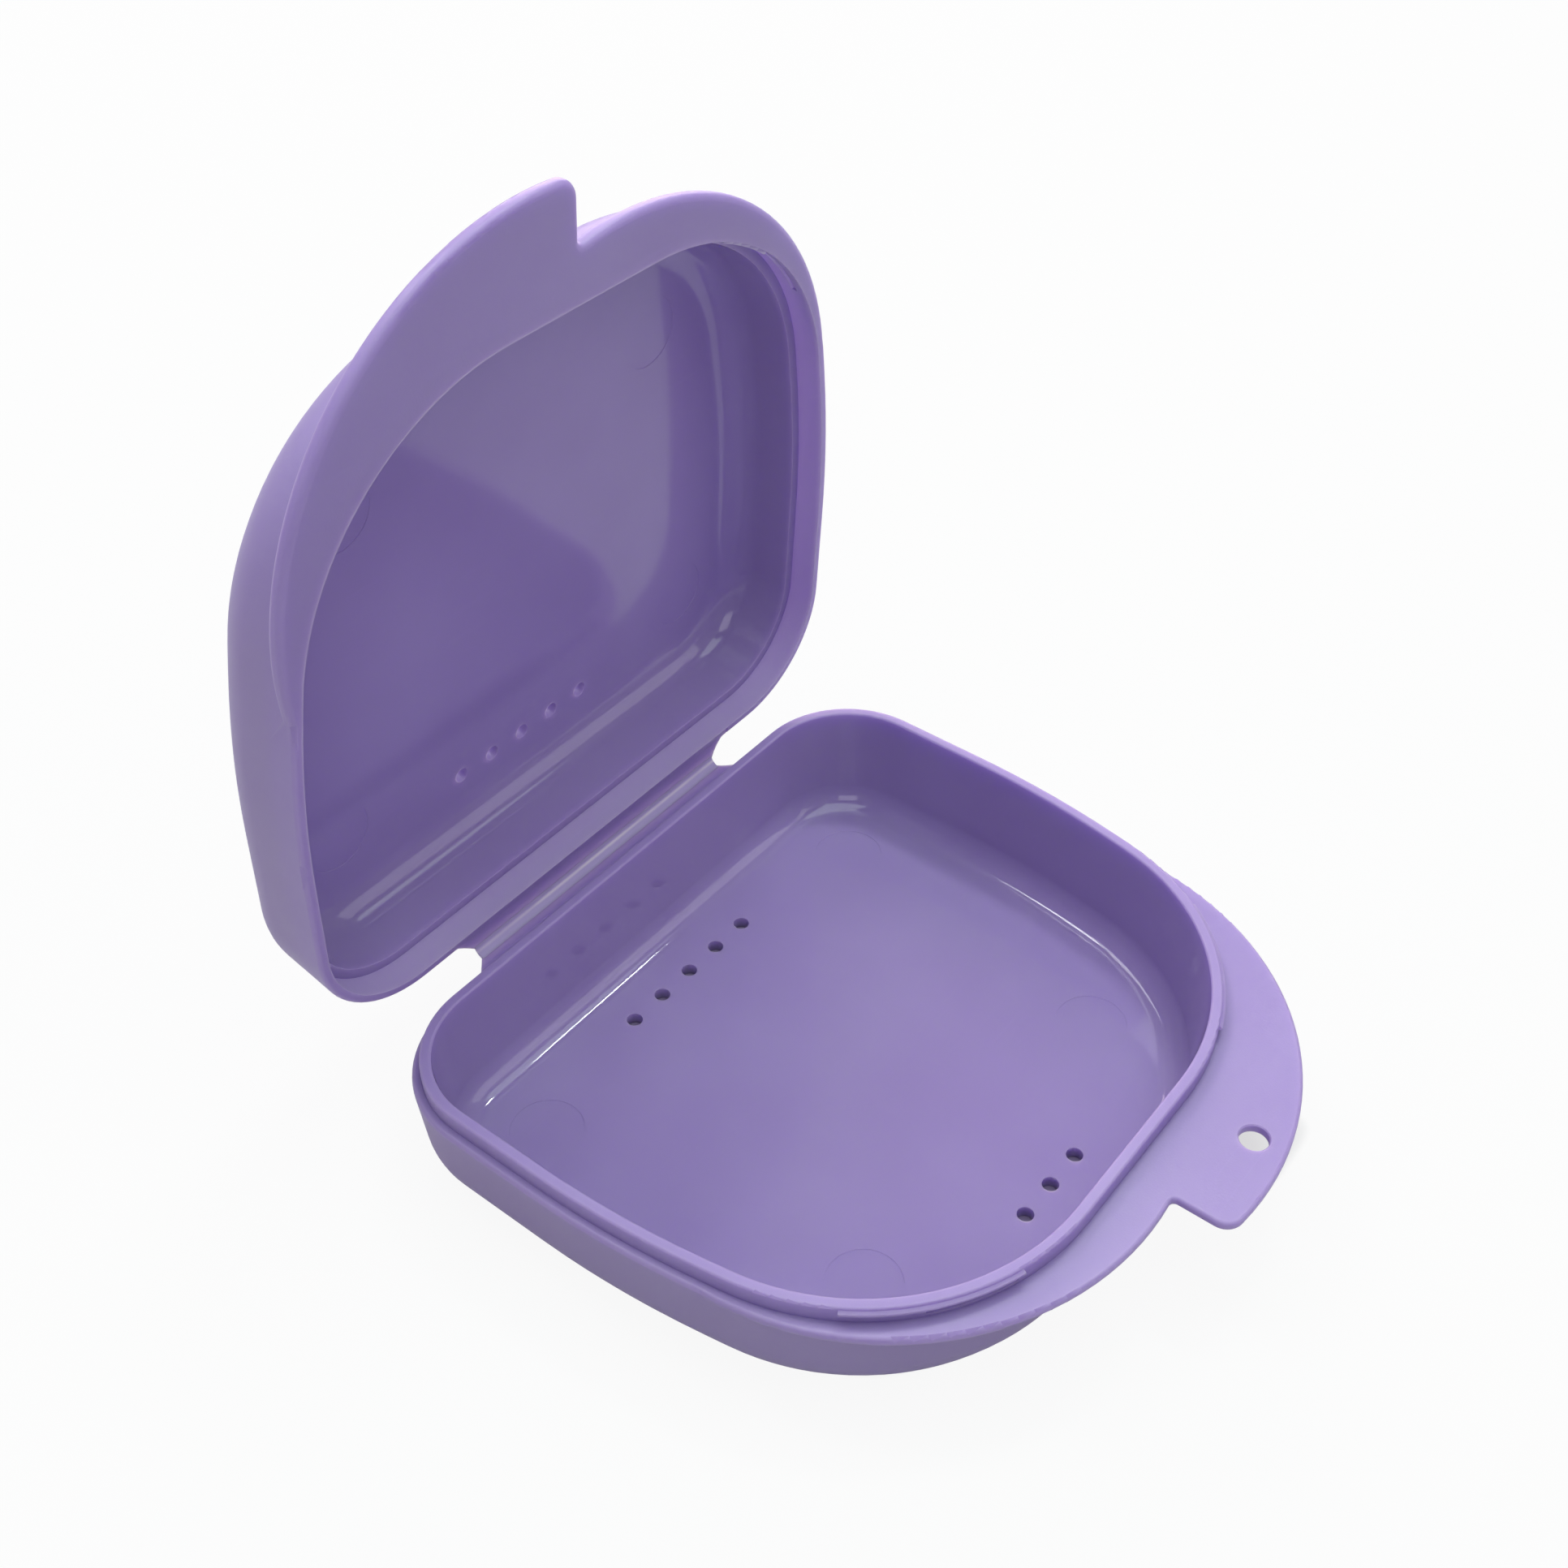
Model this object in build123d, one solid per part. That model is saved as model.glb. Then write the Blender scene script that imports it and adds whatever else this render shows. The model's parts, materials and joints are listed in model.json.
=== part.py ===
from build123d import *
from dataclasses import dataclass
import math
import os

# Sizes are in millimetres. +Z is up and +Y points to the hinge. The origin is the centre of
# the flat face that the tray rests on. The lid is drawn closed and then turned open.

# Mouth of the tray, seen from above. Its sides lean in toward the front from a soft bend near
# the middle, and the bend and the front corners are shares of the depth.
mouth_width = 72.2
mouth_depth = 62.4
side_lean_deg = 9.78
side_bend_place = 0.021
side_bend_length = 0.151
front_corner_share = 0.402
back_corner_radius = 10.0

# Tray shell
tray_height = 12.5
floor_thickness = 1.5
tray_rim_reach = 2.15
tray_outer_draft = 4.5
tray_bottom_radius = 6.5
tray_inner_draft = 5.0
tray_floor_radius = 3.0

# Lid shell
lid_height = 12.6
roof_thickness = 1.5
lid_rim_reach = 2.4
lid_outer_draft = 3.7
lid_top_radius = 6.0
lid_inner_draft = 5.0
lid_roof_radius = 4.0
closing_gap = 0.1
rim_rounding = 0.45

# Lip on the tray that plugs into a socket in the lid
lip_height = 2.0
lip_wall = 1.15
lip_rounding = 0.25
lip_clearance = 0.2
socket_depth = 3.2
socket_step_reach = 0.25

# Snap beads along the two front corners, each with a groove opposite it. Heights are above the
# half's own rim, and angles are in degrees from the side.
bead_reach = 0.33
bead_half_width = 0.32
bead_crest_half_width = 0.13
bead_sink = 0.05
bead_clearance = 0.12
tray_bead_height = 1.42
tray_bead_angles = (33.0, 71.0)
lid_bead_height = 0.52
lid_bead_angles = (52.0, 68.0)
groove_margin_deg = 2.0

# Finger flanges: the long tab on one half of the front edge, the short flange on the other, with
# a step between them. Each is part of a disc that reaches out past the mouth's front edge. The
# lid's are a little larger than the tray's, so that a finger catches them.
tab_radius = 32.0
tab_tip_radius = 2.0
short_offset = -5.5
short_radius = 31.1
step_root_radius = 0.6
tray_flange_thickness = 1.1
tray_flange_rounding = 0.4
tray_tab_offset = 4.0
tray_tab_reach = 12.4
tray_short_reach = 6.0
tray_step_offset = -1.7
lid_flange_thickness = 1.6
lid_flange_rounding = 0.65
lid_tab_offset = 5.2
lid_tab_reach = 13.4
lid_short_reach = 7.2
lid_step_offset = 0.5
tab_hole_angle = -79.9
tab_hole_inset = 3.4
tab_hole_radius = 1.5
tab_hole_chamfer = 0.12

# Vent holes in rows, and the marks of the ejector pins, set in from the mouth's edges
vent_radius = 0.88
vent_pitch = 4.6
tray_back_vents = 5
tray_front_vents = 3
tray_vent_inset = 7.5
lid_vents = 5
lid_vent_inset = 6.7
pin_mark_radius = 3.9
pin_mark_depth = 0.06
back_mark_inset = (10.1, 10.3)
front_mark_inset = (9.7, 15.4)

# Living hinge: a leaf on each rim and a thin film between the two
crease_reach = 4.8
crease_drop = 0.1
crease_inset = 16.8
leaf_flare = 2.2
leaf_thickness = 1.5
leaf_taper_start = 1.4
leaf_root_radius = 0.8
leaf_cove_depth = 0.3
film_half_width = 0.7
film_thickness = 0.4
film_offset = 0.25
open_angle_deg = 85.85

# Values that follow from those above
back_y = mouth_depth / 2
front_y = -mouth_depth / 2
side_bend_y = side_bend_place * mouth_depth
front_width = mouth_width - 2 * (side_bend_y - front_y) * math.tan(math.radians(side_lean_deg))
side_bend_radius = side_bend_length * mouth_depth / math.tan(math.radians(side_lean_deg) / 2)
front_corner_radius = front_corner_share * mouth_depth
crease_y = back_y + crease_reach
crease_z = tray_height - crease_drop
crease_length = mouth_width - 2 * crease_inset
lid_rim_z = tray_height + closing_gap
socket_reach = lip_wall + lip_clearance
far = mouth_width + mouth_depth
cutter_overrun = 1.0
same_place = 0.01


def mouth(grow=0.0):
    """Flat face inside the mouth's outline, grown outward by the given amount."""
    right = [(mouth_width / 2, back_y), (mouth_width / 2, side_bend_y), (front_width / 2, front_y)]
    left = [(-x, y) for x, y in reversed(right)]
    face = make_face(Polyline(*right, *left, close=True))
    corners = ((front_y, front_corner_radius), (side_bend_y, side_bend_radius), (back_y, back_corner_radius))
    for y, radius in corners:
        face = fillet([v for v in face.vertices() if abs(v.Y - y) < same_place], radius)
    return offset(face, amount=grow) if grow else face


def tapered(reach, z, height, draft_deg, overrun=0.0):
    """Block on the mouth's outline whose walls lean inward away from its first face.

    An overrun starts it that far in front of the first face, as a cutter needs.
    """
    slope = math.tan(math.radians(draft_deg))
    first = Pos(0, 0, z - math.copysign(overrun, height)) * mouth(reach + overrun * slope)
    return loft([first, Pos(0, 0, z + height) * mouth(reach - abs(height) * slope)])


def end_face(block, direction):
    """Face of a block that lies farthest up (1) or down (-1)."""
    return block.faces().sort_by(Axis.Z)[-1 if direction > 0 else 0]


def front_corner():
    """Centre of the arc at the front corner on +X."""
    lean = math.radians(side_lean_deg)
    inward = front_corner_radius * (1 - math.sin(lean)) / math.cos(lean)
    return front_width / 2 - inward, front_y + front_corner_radius


def snap_beads(wall, side, z, angles, growth=0.0, margin_deg=0.0):
    """Pair of beads with a flat crest along the front corners.

    They stand on the wall at the given reach and point outward (side 1) or inward (side -1).
    A growth widens them on every side, and a margin makes them longer.
    """
    x, y = front_corner()
    root = front_corner_radius + wall - side * bead_sink
    crest = front_corner_radius + wall + side * (bead_reach + growth)
    half_root, half_crest = bead_half_width + growth, bead_crest_half_width + growth
    corners = [(root, -half_root), (crest, -half_crest), (crest, half_crest), (root, half_root)]
    section = Plane.XZ * make_face(Polyline(*corners, close=True))
    first, last = angles[0] - margin_deg, angles[1] + margin_deg
    bead = Pos(x, y, z) * Rot(Z=-last) * revolve(section, Axis.Z, last - first)
    return bead + mirror(bead, Plane.YZ)


def snap_grooves(wall, side, z, angles):
    """Cutters of the grooves that the other half's beads drop into."""
    return snap_beads(wall, side, z, angles, bead_clearance, groove_margin_deg)


def vents(count, y, z, thickness):
    """Drills for one row of vent holes through the plate whose lower face is at the given height."""
    row = Pos(0, y, z + thickness / 2)
    drill = Cylinder(vent_radius, 2 * thickness)
    return [row * place * drill for place in GridLocations(vent_pitch, 1, count, 1)]


def pin_marks(z):
    """Shallow round recesses that the ejector pins leave in a moulded floor."""
    back = (mouth_width / 2 - back_mark_inset[0], back_y - back_mark_inset[1])
    front = (front_width / 2 - front_mark_inset[0], front_y + front_mark_inset[1])
    places = [(side * x, y) for x, y in (back, front) for side in (-1, 1)]
    return [Pos(x, y, z) * Cylinder(pin_mark_radius, 2 * pin_mark_depth) for x, y in places]


def near(shape, place):
    """Corner of a flat outline that lies nearest to a place."""
    return shape.vertices().sort_by_distance(Vector(*place))[0]


@dataclass
class Flanges:
    """Finger flanges of one half. Offsets are along X, and reaches are from the mouth's front edge."""

    thickness: float
    rounding: float
    tab_offset: float
    tab_reach: float
    short_reach: float
    step_offset: float

    def tab_centre(self):
        """Centre of the disc that the long tab is part of."""
        return self.tab_offset, front_y - self.tab_reach + tab_radius

    def plan(self):
        """Both flanges seen from above, with the step between them."""
        tab = Pos(*self.tab_centre()) * Circle(tab_radius)
        tab &= Pos(self.step_offset + far / 2, -far / 2) * Rectangle(far, far)
        short_y = front_y - self.short_reach + short_radius
        short = Pos(short_offset, short_y) * Circle(short_radius)
        short &= Pos(self.tab_offset - far / 2, -far / 2) * Rectangle(far, far)
        plan = tab + short
        plan = fillet(plan.vertices().sort_by(Axis.Y)[0], tab_tip_radius)
        step_y = short_y - math.sqrt(short_radius**2 - (self.step_offset - short_offset) ** 2)
        return fillet(near(plan, (self.step_offset, step_y)), step_root_radius)

    def plate(self, z, direction):
        """Plate on the parting plane with its edges rounded, on the side that the direction gives."""
        plate = extrude(Pos(0, 0, z) * self.plan(), amount=direction * self.thickness)
        edges = end_face(plate, 1).edges() + end_face(plate, -1).edges()
        return fillet([e for e in edges if (e @ 0.5).Y < -same_place], self.rounding)


def rounded_block(reach, z, height, draft_deg, radius):
    """Outer block of one half, with its rim and its far edges rounded."""
    direction = math.copysign(1, height)
    block = tapered(reach, z, height, draft_deg)
    block = fillet(end_face(block, direction).edges(), radius)
    return fillet(end_face(block, -direction).edges(), rim_rounding)


def leaf(rim_reach, rim_z, direction):
    """Hinge leaf on the back of one rim, and the cutter of the cove along its inner side.

    The leaf is drawn on the side of the parting plane that the direction gives.
    """
    stop_y = crease_y - film_half_width
    film_z = crease_z + direction * film_offset
    inner_z = film_z - direction * film_thickness / 2
    outer_z = film_z + direction * film_thickness / 2
    root_z = rim_z + direction * leaf_thickness
    taper_y = stop_y - leaf_taper_start
    start_y = back_y + socket_reach
    middle = ((start_y + stop_y) / 2, (rim_z + inner_z) / 2 + direction * leaf_cove_depth)
    cove = ThreePointArc((start_y, rim_z), middle, (stop_y, inner_z))
    section = [(stop_y, inner_z), (stop_y, outer_z), (taper_y, root_z), (start_y, root_z), (start_y, rim_z)]
    strip = extrude(Plane.YZ * make_face(cove + Polyline(*section)), amount=far, both=True)
    lid_side = rim_z - direction * leaf_thickness
    above = [(stop_y, inner_z), (stop_y, lid_side), (start_y, lid_side), (start_y, rim_z)]
    cutter = extrude(Plane.YZ * make_face(cove + Polyline(*above)), amount=far, both=True)

    root_y = back_y + rim_reach
    half_end = crease_length / 2
    half_root = half_end + leaf_flare
    corners = [(half_root, root_y), (half_end, stop_y), (-half_end, stop_y), (-half_root, root_y)]
    inside = [(-half_root, back_y), (half_root, back_y)]
    plan = make_face(Polyline(*corners, *inside, close=True)) + mouth(rim_reach)
    roots = [near(plan, (s * half_root, root_y)) for s in (-1, 1)]
    plan = fillet(roots, leaf_root_radius)
    plan &= Pos(0, start_y + far / 2) * Rectangle(2 * (half_root + leaf_root_radius), far)
    column = extrude(Pos(0, 0, rim_z) * plan, amount=2 * leaf_thickness, both=True)
    return strip & column, cutter & column


def make_tray():
    """Lower half: shell, flanges, hinge leaf, plug-in lip, vents and snap beads."""
    z = tray_height
    flanges = Flanges(
        thickness=tray_flange_thickness,
        rounding=tray_flange_rounding,
        tab_offset=tray_tab_offset,
        tab_reach=tray_tab_reach,
        short_reach=tray_short_reach,
        step_offset=tray_step_offset,
    )
    tray = rounded_block(tray_rim_reach, z, -z, tray_outer_draft, tray_bottom_radius)
    tray += flanges.plate(z, -1)
    strip, cutter = leaf(tray_rim_reach, z, -1)
    tray = tray - cutter + strip
    tray += extrude(Pos(0, 0, z) * mouth(lip_wall), amount=lip_height)

    lip_z = z + lip_height
    hollow = tapered(0.0, lip_z, floor_thickness - lip_z, tray_inner_draft, cutter_overrun)
    tray -= fillet(end_face(hollow, -1).edges(), tray_floor_radius)
    tray = fillet(end_face(tray, 1).edges(), lip_rounding)

    tray -= snap_grooves(socket_reach, -1, lid_rim_z + lid_bead_height, lid_bead_angles)
    tray += snap_beads(lip_wall, 1, z + tray_bead_height, tray_bead_angles)

    tray -= vents(tray_back_vents, back_y - tray_vent_inset, 0, floor_thickness)
    tray -= vents(tray_front_vents, front_y + tray_vent_inset, 0, floor_thickness)
    tray -= pin_marks(floor_thickness)
    hole = Pos(tab_radius - tab_hole_inset, 0) * Cylinder(tab_hole_radius, 3 * tray_flange_thickness)
    tray -= Pos(*flanges.tab_centre(), z) * Rot(Z=tab_hole_angle) * hole
    circles = tray.edges().filter_by(GeomType.CIRCLE)
    rims = [e for e in circles if abs(e.radius - tab_hole_radius) < same_place]
    return chamfer(rims, tab_hole_chamfer)


def make_lid():
    """Upper half, drawn closed: shell, leaf, socket, vents, and its flanges mirrored at the end."""
    z = lid_rim_z
    flanges = Flanges(
        thickness=lid_flange_thickness,
        rounding=lid_flange_rounding,
        tab_offset=lid_tab_offset,
        tab_reach=lid_tab_reach,
        short_reach=lid_short_reach,
        step_offset=lid_step_offset,
    )
    lid = rounded_block(lid_rim_reach, z, lid_height, lid_outer_draft, lid_top_radius)
    lid += flanges.plate(z, 1)
    strip, cutter = leaf(lid_rim_reach, z, 1)
    lid = lid - cutter + strip

    lid -= extrude(Pos(0, 0, z) * mouth(socket_reach), amount=socket_depth)
    step_z = z + socket_depth
    roof_z = z + lid_height - roof_thickness
    hollow = tapered(socket_step_reach, step_z, roof_z - step_z, lid_inner_draft, cutter_overrun)
    lid -= fillet(end_face(hollow, 1).edges(), lid_roof_radius)

    lid -= snap_grooves(lip_wall, 1, tray_height + tray_bead_height, tray_bead_angles)
    lid += snap_beads(socket_reach, -1, z + lid_bead_height, lid_bead_angles)

    lid -= vents(lid_vents, back_y - lid_vent_inset, roof_z, roof_thickness)
    lid -= pin_marks(roof_z)
    return mirror(lid, Plane.YZ)


def make_film():
    """Thin film of the hinge, bent round from the tray's leaf to the open lid's leaf."""
    bend_deg = 180.0 - open_angle_deg
    bend_z = crease_z + film_half_width / math.tan(math.radians(bend_deg) / 2)
    start_y = crease_y - film_half_width
    plane = Plane(origin=(0, start_y, crease_z - film_offset), x_dir=(1, 0, 0), z_dir=(0, -1, 0))
    section = plane * Rectangle(crease_length, film_thickness)
    axis = Axis((0, start_y, bend_z), (1, 0, 0))
    return revolve(section, axis=axis, revolution_arc=bend_deg)


def opened(shape):
    """A closed lid's shape turned about the crease to the open rest pose."""
    return shape.rotate(Axis((0, crease_y, crease_z), (1, 0, 0)), -open_angle_deg)


os.makedirs("parts", exist_ok=True)
export_step(make_tray(), "parts/base_tray.step")
export_step(opened(make_lid()), "parts/lid_shell.step")
export_step(make_film(), "parts/living_hinge.step")
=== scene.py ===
"""Dresses an open lilac retainer case on a white table for the photograph's view.

Lengths are in metres. +Z is up, +Y points to the hinge, and the origin is the centre of the flat
face that the tray rests on.
"""

import json
import logging
import math
from dataclasses import dataclass, field
from enum import Enum

import bpy
from mathutils import Matrix, Vector

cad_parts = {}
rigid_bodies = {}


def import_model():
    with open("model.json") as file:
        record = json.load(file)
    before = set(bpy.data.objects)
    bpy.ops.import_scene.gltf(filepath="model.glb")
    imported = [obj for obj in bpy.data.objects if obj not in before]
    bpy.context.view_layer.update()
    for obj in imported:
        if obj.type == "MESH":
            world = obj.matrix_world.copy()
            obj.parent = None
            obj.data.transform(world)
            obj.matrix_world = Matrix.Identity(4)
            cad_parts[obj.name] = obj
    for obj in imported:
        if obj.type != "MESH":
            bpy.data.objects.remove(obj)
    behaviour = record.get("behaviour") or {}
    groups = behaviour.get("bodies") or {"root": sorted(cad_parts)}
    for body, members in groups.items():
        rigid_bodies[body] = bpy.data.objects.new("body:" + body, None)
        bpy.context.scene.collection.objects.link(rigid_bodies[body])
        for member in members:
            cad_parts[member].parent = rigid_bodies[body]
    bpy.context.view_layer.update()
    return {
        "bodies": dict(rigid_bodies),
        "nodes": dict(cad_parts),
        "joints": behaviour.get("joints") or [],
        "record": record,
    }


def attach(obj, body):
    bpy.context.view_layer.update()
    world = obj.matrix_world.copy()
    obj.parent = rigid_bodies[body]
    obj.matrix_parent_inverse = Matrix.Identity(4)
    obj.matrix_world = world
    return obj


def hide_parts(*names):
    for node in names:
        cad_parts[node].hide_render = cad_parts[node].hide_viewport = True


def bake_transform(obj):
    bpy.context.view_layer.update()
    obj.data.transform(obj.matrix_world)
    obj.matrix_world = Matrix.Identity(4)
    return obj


LOG = logging.getLogger("retainer_case")
MM = 0.001
# Edges where the surface turns by more than this stay sharp.
SHARP_ANGLE_DEG = 40.0
# How far red, green and blue light spread in the plastic, as shares of one depth.
LIGHT_SPREAD = (1.0, 0.85, 1.15)

Colour = tuple[float, float, float]
Place = tuple[float, float, float]
Socket = bpy.types.NodeSocket


def srgb(red: int, green: int, blue: int) -> Colour:
    """Turns a colour as seen on a screen into the linear values that shaders use.

    Args:
        red: Red, 0 to 255.
        green: Green, 0 to 255.
        blue: Blue, 0 to 255.

    Returns:
        The linear colour, by the sRGB standard's curve.
    """

    def linear(channel: int) -> float:
        """Turns one channel."""
        part = channel / 255.0
        return part / 12.92 if part <= 0.04045 else ((part + 0.055) / 1.055) ** 2.4

    return linear(red), linear(green), linear(blue)


class Region(Enum):
    """Faces of a moulding that share one finish."""

    OUTSIDE = "outside"
    INSIDE = "inside"
    SOCKET = "socket"


class Side(Enum):
    """Which way a half's hollow opens when the case is closed, as a sign along Z."""

    UP = 1.0
    DOWN = -1.0


# Working in edit mode


def deselect_all() -> None:
    """Leaves nothing selected."""
    if bpy.context.mode != "OBJECT":
        bpy.ops.object.mode_set(mode="OBJECT")
    bpy.ops.object.select_all(action="DESELECT")


def pick(piece: bpy.types.Object) -> None:
    """Makes one piece the only one selected, and the active one.

    Args:
        piece: The piece.
    """
    deselect_all()
    piece.select_set(True)
    bpy.context.view_layer.objects.active = piece


def edit(piece: bpy.types.Object, mode: str = "VERT") -> None:
    """Opens a piece in edit mode.

    Args:
        piece: The piece to shape.
        mode: What is selected in it: VERT, EDGE or FACE.
    """
    pick(piece)
    bpy.ops.object.mode_set(mode="EDIT")
    bpy.ops.mesh.select_mode(type=mode)


def leave_edit() -> None:
    """Goes back to object mode."""
    bpy.ops.object.mode_set(mode="OBJECT")


def apply_place(piece: bpy.types.Object) -> None:
    """Puts a piece's place, turn and scale into its mesh.

    Args:
        piece: The piece.
    """
    pick(piece)
    bpy.ops.object.transform_apply(location=True, rotation=True, scale=True)


# Shader nodes


class Shading:
    """Short calls for wiring one node tree.

    Attributes:
        mix_inputs: Where a Mix node has its factor and its two colours.
        mix_output: Where a Mix node has its mixed colour.
    """

    mix_inputs = (0, 6, 7)
    mix_output = 2

    def __init__(self, tree: bpy.types.NodeTree) -> None:
        """Starts on an empty tree.

        Args:
            tree: The node tree of a material or a group.
        """
        self.tree = tree
        self.tree.nodes.clear()

    def node(self, kind: str, **settings: object) -> bpy.types.Node:
        """Adds a node and sets its properties.

        Args:
            kind: The node's type name.
            **settings: Properties of the node by name.

        Returns:
            The new node.
        """
        made = self.tree.nodes.new(kind)
        for name, value in settings.items():
            setattr(made, name, value)
        return made

    def link(self, source: Socket, target: Socket) -> None:
        """Joins an output to an input.

        Args:
            source: The output.
            target: The input.
        """
        self.tree.links.new(source, target)

    def feed(self, target: Socket, value: object) -> None:
        """Gives an input a link or a constant, whichever the value is.

        Args:
            target: The input.
            value: An output to link, or a constant.
        """
        if isinstance(value, Socket):
            self.link(value, target)
        else:
            target.default_value = value

    def math(self, operation: str, *values: object, clamp: bool = False) -> Socket:
        """Adds one sum.

        Args:
            operation: The Math node's operation.
            *values: Links or numbers for its inputs.
            clamp: Whether the result is held between 0 and 1.

        Returns:
            The result's socket.
        """
        made = self.node("ShaderNodeMath", operation=operation, use_clamp=clamp)
        for socket, value in zip(made.inputs, values):
            self.feed(socket, value)
        return made.outputs[0]

    def noise(
        self, vector: Socket, scale: object, detail: float = 2.0, rough: float = 0.5
    ) -> Socket:
        """Adds a noise texture.

        Args:
            vector: Where it is read.
            scale: How many lumps there are to one unit of the coordinates.
            detail: How many octaves it has.
            rough: How strong the finer octaves are.

        Returns:
            Its value's socket.
        """
        made = self.node("ShaderNodeTexNoise")
        self.link(vector, made.inputs["Vector"])
        self.feed(made.inputs["Scale"], scale)
        made.inputs["Detail"].default_value = detail
        made.inputs["Roughness"].default_value = rough
        return made.outputs["Fac"]

    def stretch(self, vector: Socket, scale: Place, turn_deg: float) -> Socket:
        """Scales coordinates and turns them about Z.

        Args:
            vector: The coordinates.
            scale: Factor along each axis.
            turn_deg: Turn about Z in degrees.

        Returns:
            The new coordinates' socket.
        """
        made = self.node("ShaderNodeMapping")
        self.link(vector, made.inputs["Vector"])
        made.inputs["Scale"].default_value = scale
        made.inputs["Rotation"].default_value = (0.0, 0.0, math.radians(turn_deg))
        return made.outputs["Vector"]

    def smooth_step(self, value: Socket, low: float, high: float) -> Socket:
        """Maps a value to 0 below one limit and 1 above the other, with a soft change between.

        Args:
            value: The value to map.
            low: Where it starts to rise.
            high: Where it is 1.

        Returns:
            The mask's socket.
        """
        made = self.node("ShaderNodeMapRange", interpolation_type="SMOOTHSTEP")
        self.link(value, made.inputs["Value"])
        made.inputs["From Min"].default_value = low
        made.inputs["From Max"].default_value = high
        return made.outputs["Result"]

    def mix_colour(self, share: Socket, first: object, second: Colour) -> Socket:
        """Mixes two colours.

        Args:
            share: Share of the second colour.
            first: A link or a linear colour.
            second: A linear colour.

        Returns:
            The mixed colour's socket.
        """
        made = self.node("ShaderNodeMix", data_type="RGBA")
        factor, first_colour, second_colour = (made.inputs[i] for i in self.mix_inputs)
        self.link(share, factor)
        self.feed(first_colour, first if isinstance(first, Socket) else (*first, 1.0))
        second_colour.default_value = (*second, 1.0)
        return made.outputs[self.mix_output]


class EffectGroup:
    """A shader node group. It is built once, when first placed, and shared after that.

    Attributes:
        name: The group's name.
        inputs: Name, kind and value of each input.
        outputs: Name and kind of each output.
    """

    name: str = ""
    inputs: tuple[tuple[str, str, float], ...] = ()
    outputs: tuple[tuple[str, str], ...] = ()

    def place(self, shading: Shading, **values: object) -> bpy.types.Node:
        """Puts the group in a tree.

        Args:
            shading: The tree that uses it.
            **values: Links or numbers for its inputs, with _ for each space in a name.

        Returns:
            The group's node.
        """
        tree = bpy.data.node_groups.get(self.name) or self.build()
        made = shading.node("ShaderNodeGroup", node_tree=tree)
        for name, value in values.items():
            shading.feed(made.inputs[name.replace("_", " ")], value)
        return made

    def build(self) -> bpy.types.NodeTree:
        """Makes the group's tree with its sockets, and wires it.

        Returns:
            The tree.
        """
        tree = bpy.data.node_groups.new(self.name, "ShaderNodeTree")
        for name, kind, value in self.inputs:
            socket = tree.interface.new_socket(name, in_out="INPUT", socket_type=kind)
            if kind == "NodeSocketFloat":
                socket.default_value = value
        for name, kind in self.outputs:
            tree.interface.new_socket(name, in_out="OUTPUT", socket_type=kind)
        shading = Shading(tree)
        source = shading.node("NodeGroupInput")
        target = shading.node("NodeGroupOutput")
        self.wire(shading, source.outputs, target.inputs)
        return tree

    def wire(self, shading: Shading, given: object, result: object) -> None:
        """Wires the inside of the group.

        Args:
            shading: The group's tree.
            given: Its inputs.
            result: Its outputs.
        """
        raise NotImplementedError


class MouldedSkin(EffectGroup):
    """Skin of a moulded plastic: a fine grain, slow waves of shrinkage, and uneven pigment.

    Attributes:
        wave_size: Size of a slow wave.
        haze_size: Size of a hazy patch.
        pigment_size: Size of a patch of denser pigment.
    """

    name = "moulded_skin"
    inputs = (
        ("Vector", "NodeSocketVector", 0.0),
        ("Grain Size", "NodeSocketFloat", 0.25),
        ("Grain", "NodeSocketFloat", 0.5),
        ("Waves", "NodeSocketFloat", 0.5),
    )
    outputs = (
        ("Height", "NodeSocketFloat"),
        ("Haze", "NodeSocketFloat"),
        ("Pigment", "NodeSocketFloat"),
    )
    wave_size = 14 * MM
    haze_size = 6 * MM
    pigment_size = 22 * MM

    def wire(self, shading: Shading, given: object, result: object) -> None:
        """Wires the skin. Grain Size is in millimetres, and the rest are strengths."""
        per_metre = shading.math("DIVIDE", 1.0 / MM, given["Grain Size"])
        grain = shading.noise(given["Vector"], per_metre, detail=3.0, rough=0.6)
        waves = shading.noise(given["Vector"], 1.0 / self.wave_size, detail=1.0)
        grain_part = shading.math("MULTIPLY", grain, given["Grain"])
        wave_part = shading.math("MULTIPLY", waves, given["Waves"])
        shading.link(shading.math("ADD", grain_part, wave_part), result["Height"])
        haze = shading.noise(given["Vector"], 1.0 / self.haze_size, detail=4.0, rough=0.65)
        shading.link(haze, result["Haze"])
        pigment = shading.noise(given["Vector"], 1.0 / self.pigment_size, detail=3.0)
        shading.link(pigment, result["Pigment"])


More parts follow.
